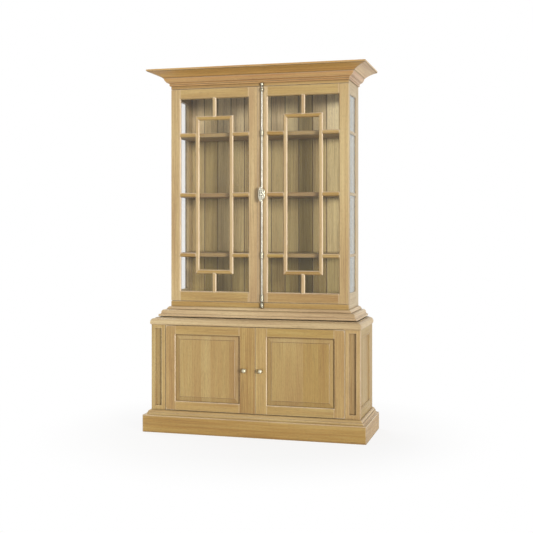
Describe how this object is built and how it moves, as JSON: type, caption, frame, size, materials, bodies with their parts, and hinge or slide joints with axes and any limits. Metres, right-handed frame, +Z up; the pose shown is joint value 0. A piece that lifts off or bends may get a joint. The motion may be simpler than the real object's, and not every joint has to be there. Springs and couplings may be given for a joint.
{
  "type": "glazed bookcase",
  "caption": "Two-part oak bookcase with fretwork glazed doors and a cremone bolt over a panelled cupboard with pilasters.",
  "frame": {"origin": "middle of the footprint, on the floor", "axes": "+Z up, -Y towards the front, +X to the right as one faces the front"},
  "size_m": [1.492, 0.518, 2.4],
  "materials": {
    "oak": "satin",
    "aged_oak": "matte",
    "glass": "clear",
    "nickel": "polished",
    "brass": "satin",
    "steel": "satin"
  },
  "bodies": {
    "case": {"plinth_boards": "oak", "plinth_back": "oak", "plinth_bearers": "oak", "base_moulding": "oak", "base_floor": "oak", "base_back": "oak", "base_shelf": "oak", "base_shelf_bearers": "oak", "base_top": "oak", "left_pilaster": "oak", "right_pilaster": "oak", "left_base_side_frame": "oak", "right_base_side_frame": "oak", "left_base_side_panel": "oak", "right_base_side_panel": "oak", "waist_moulding": "oak", "upper_floor": "oak", "upper_bottom_rail": "oak", "frieze_rail": "oak", "back_planks": "aged_oak", "upper_top": "oak", "cornice_crown": "oak", "cornice_bed_moulding": "oak", "shelf_lower": "oak", "shelf_middle": "oak", "shelf_upper": "oak", "left_upper_side_frame": "oak", "right_upper_side_frame": "oak", "left_upper_side_glass": "glass", "right_upper_side_glass": "glass", "shelf_pins": "brass", "case_bolts": "steel", "door_stops": "oak", "catch_magnets": "steel", "case_hinges": "brass", "cremone_keepers": "nickel"},
    "left_glazed_door": {"left_glazed_door_frame": "oak", "left_glazed_door_fretwork": "oak", "left_glazed_door_glass": "glass", "left_glazed_door_beads": "oak", "left_glazed_door_fittings": "brass"},
    "left_panelled_door": {"left_panelled_door_frame": "oak", "left_panelled_door_panel": "oak", "left_panelled_door_fittings": "brass", "left_panelled_door_knob": "nickel"},
    "right_glazed_door": {"right_glazed_door_frame": "oak", "right_glazed_door_fretwork": "oak", "right_glazed_door_glass": "glass", "right_glazed_door_beads": "oak", "right_glazed_door_fittings": "brass", "cremone_casing": "nickel", "cremone_guides": "nickel", "cremone_screws": "nickel"},
    "right_panelled_door": {"right_panelled_door_frame": "oak", "right_panelled_door_panel": "oak", "right_panelled_door_fittings": "brass", "right_panelled_door_knob": "nickel"},
    "cremone_handle": {"cremone_handle": "nickel"},
    "cremone_upper_rod": {"cremone_upper_rod": "nickel"},
    "cremone_lower_rod": {"cremone_lower_rod": "nickel"}
  },
  "joints": [
    {"name": "left_glazed_door_hinge", "type": "hinge", "parent": "case", "child": "left_glazed_door", "pos_m": [-0.599, -0.085, 1.567], "axis": [0, 0, -1], "range_deg": [0, 105]},
    {"name": "right_glazed_door_hinge", "type": "hinge", "parent": "case", "child": "right_glazed_door", "pos_m": [0.599, -0.085, 1.567], "axis": [0, 0, 1], "range_deg": [0, 105]},
    {"name": "left_panelled_door_hinge", "type": "hinge", "parent": "case", "child": "left_panelled_door", "pos_m": [-0.597, -0.2075, 0.4245], "axis": [0, 0, -1], "range_deg": [0, 95]},
    {"name": "right_panelled_door_hinge", "type": "hinge", "parent": "case", "child": "right_panelled_door", "pos_m": [0.597, -0.2075, 0.4245], "axis": [0, 0, 1], "range_deg": [0, 95]},
    {"name": "cremone_turn", "type": "hinge", "parent": "right_glazed_door", "child": "cremone_handle", "pos_m": [0.03, -0.1055, 1.567], "axis": [0, -1, 0], "range_deg": [0, 90]},
    {"name": "upper_rod_slide", "type": "slide", "parent": "right_glazed_door", "child": "cremone_upper_rod", "axis": [0, 0, 1], "range_m": [0, 0.01257]},
    {"name": "lower_rod_slide", "type": "slide", "parent": "right_glazed_door", "child": "cremone_lower_rod", "axis": [0, 0, -1], "range_m": [0, 0.01257]}
  ],
  "couplings": [
    {"joint": "cremone_turn", "follows": "upper_rod_slide", "rad_per_m": 125},
    {"joint": "lower_rod_slide", "follows": "upper_rod_slide", "ratio": 1}
  ]
}
